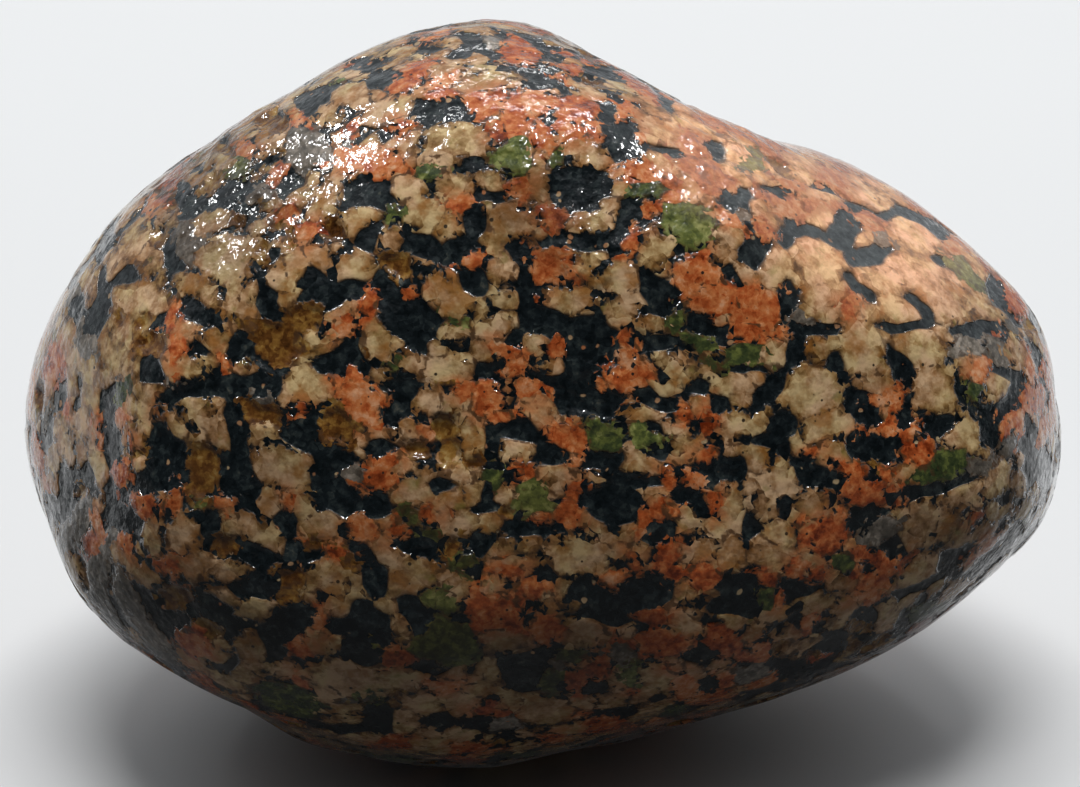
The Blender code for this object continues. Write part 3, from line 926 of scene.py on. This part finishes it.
# Pale floor, painted darker towards the front as painted shade, and soft light.
studio = {
    "floorSize": 6.0,
    # painted shade: the floor's colour is darker towards the front
    "floorNearShaded": (0.69, 0.69, 0.69, 1),
    "floorFar": (0.97, 0.97, 0.965, 1),
    "floorShadeFade": (-60 * mm, 380 * mm),       # from near to far, along Y
    "floorRoughness": 0.6,
    "bounce": (0.78, 0.78, 0.78, 1),
    "bounceFade": (-15 * mm, 45 * mm),       # where the cobble starts to mirror the floor
    "bounceLeast": 0.14,
    "bounceDrop": 0.5 * mm,
    "sky": (0.90, 0.95, 1.0, 1),
    "skyTop": 0.42,
    "skyTopFade": (0.55, 0.95),              # rise of the direction, from none to full
    "skyBack": 0.40,
    "skyBackFade": (-0.25, 0.45),            # how far it points back, from none to full
    "horizon": (-0.10, 0.05),
    "skyFront": 0.012,
}

# place, length and width in metres, watts, then whether it lights things and whether they mirror it
lamps = {
    "key": ((0.0, -0.34, 0.94), 0.30, 0.12, 2.0, True, False),
    "keyGlint": ((0.12, -0.32, 0.94), 0.14, 0.025, 3.0, False, True),
    "top": ((0.0, -0.09, 0.99), 0.56, 0.15, 6.1, True, False),
    "back": ((0.00, 0.50, 0.86), 0.55, 0.03, 3.0, False, True),
    "left": ((-0.62, 0.20, 0.76), 0.25, 0.04, 4.5, False, True),
    "right": ((0.34, 0.24, 0.91), 0.25, 0.04, 5.0, False, True),
}


def makeSheet(name, low, high):
    sheet = bmesh.new()
    bmesh.ops.create_grid(sheet, x_segments=1, y_segments=1, size=0.5)
    size = Vector(high) - Vector(low)
    bmesh.ops.scale(sheet, verts=sheet.verts, vec=(size.x, size.y, 1))
    bmesh.ops.translate(sheet, verts=sheet.verts, vec=(Vector(low) + Vector(high)) / 2)
    mesh = bpy.data.meshes.new(name)
    sheet.to_mesh(mesh)
    sheet.free()
    piece = placeObject(name, mesh)
    return piece


def distanceBack(tree):
    place = addNode(tree, "ShaderNodeTexCoord").outputs["Object"]
    return addNode(tree, "ShaderNodeSeparateXYZ", {0: place}).outputs["Y"]


def floorMaterial():
    material, tree, shader = startMaterial("paleFloor")
    # painted shade: the floor darkens from far to near
    far = step(tree, distanceBack(tree), *studio["floorShadeFade"])
    color = mixColor(tree, far, studio["floorNearShaded"], studio["floorFar"])
    tree.links.new(color, shader.inputs["Base Color"])
    shader.inputs["Roughness"].default_value = studio["floorRoughness"]
    return material


def bounceMaterial():
    # fades in from the front, so that the cobble mirrors no edge
    material, tree, shader = startMaterial("bounceSheet")
    shader.inputs["Base Color"].default_value = studio["bounce"]
    share = step(tree, distanceBack(tree), *studio["bounceFade"], studio["bounceLeast"])
    tree.links.new(share, shader.inputs["Alpha"])
    return material


def makeFloor():
    edge = studio["floorSize"] / 2
    # the floor that shows, and just below it the sheet that throws light back at the cobble
    floor = makeSheet("floor", (-edge, -edge, 0), (edge, edge, 0))
    floor.data.materials.append(floorMaterial())
    floor.visible_diffuse = False
    floor.visible_glossy = False
    floor.visible_shadow = False
    low = -studio["bounceDrop"]
    bounce = makeSheet("bounceSheet", (-edge, -edge, low), (edge, edge, low))
    bounce.data.materials.append(bounceMaterial())
    bounce.visible_camera = False


def makeLamps():
    for name, (place, length, width, watts, lights, mirrored) in lamps.items():
        data = bpy.data.lights.new(name, "AREA")
        data.shape = "RECTANGLE"
        data.size = length
        data.size_y = width
        data.energy = watts
        lamp = placeObject(name, data)
        lamp.location = place
        aim = Vector(place) - Vector((0, 0, view["lookAt"]))
        lamp.rotation_euler = aim.to_track_quat("Z", "Y").to_euler()
        lamp.visible_camera = False
        lamp.visible_diffuse = lights
        lamp.visible_glossy = mirrored


def makeSky():
    world = bpy.data.worlds.new("room")
    bpy.context.scene.world = world
    world.use_nodes = True
    tree = world.node_tree
    place = addNode(tree, "ShaderNodeTexCoord").outputs["Generated"]
    way = addNode(tree, "ShaderNodeSeparateXYZ", {0: place}).outputs
    above = step(tree, way["Z"], *studio["horizon"])
    back = step(tree, way["Y"], *studio["skyBackFade"], 0, studio["skyBack"])
    back = maths(tree, "MULTIPLY", back, above)
    top = step(tree, way["Z"], *studio["skyTopFade"], 0, studio["skyTop"])
    strength = maths(tree, "ADD", maths(tree, "ADD", back, top), studio["skyFront"])
    background = tree.nodes["Background"]
    background.inputs["Color"].default_value = studio["sky"]
    tree.links.new(strength, background.inputs["Strength"])


makeFloor()
makeLamps()
makeSky()
bpy.context.scene.view_settings.view_transform = "Standard"
print("floor and light placed")
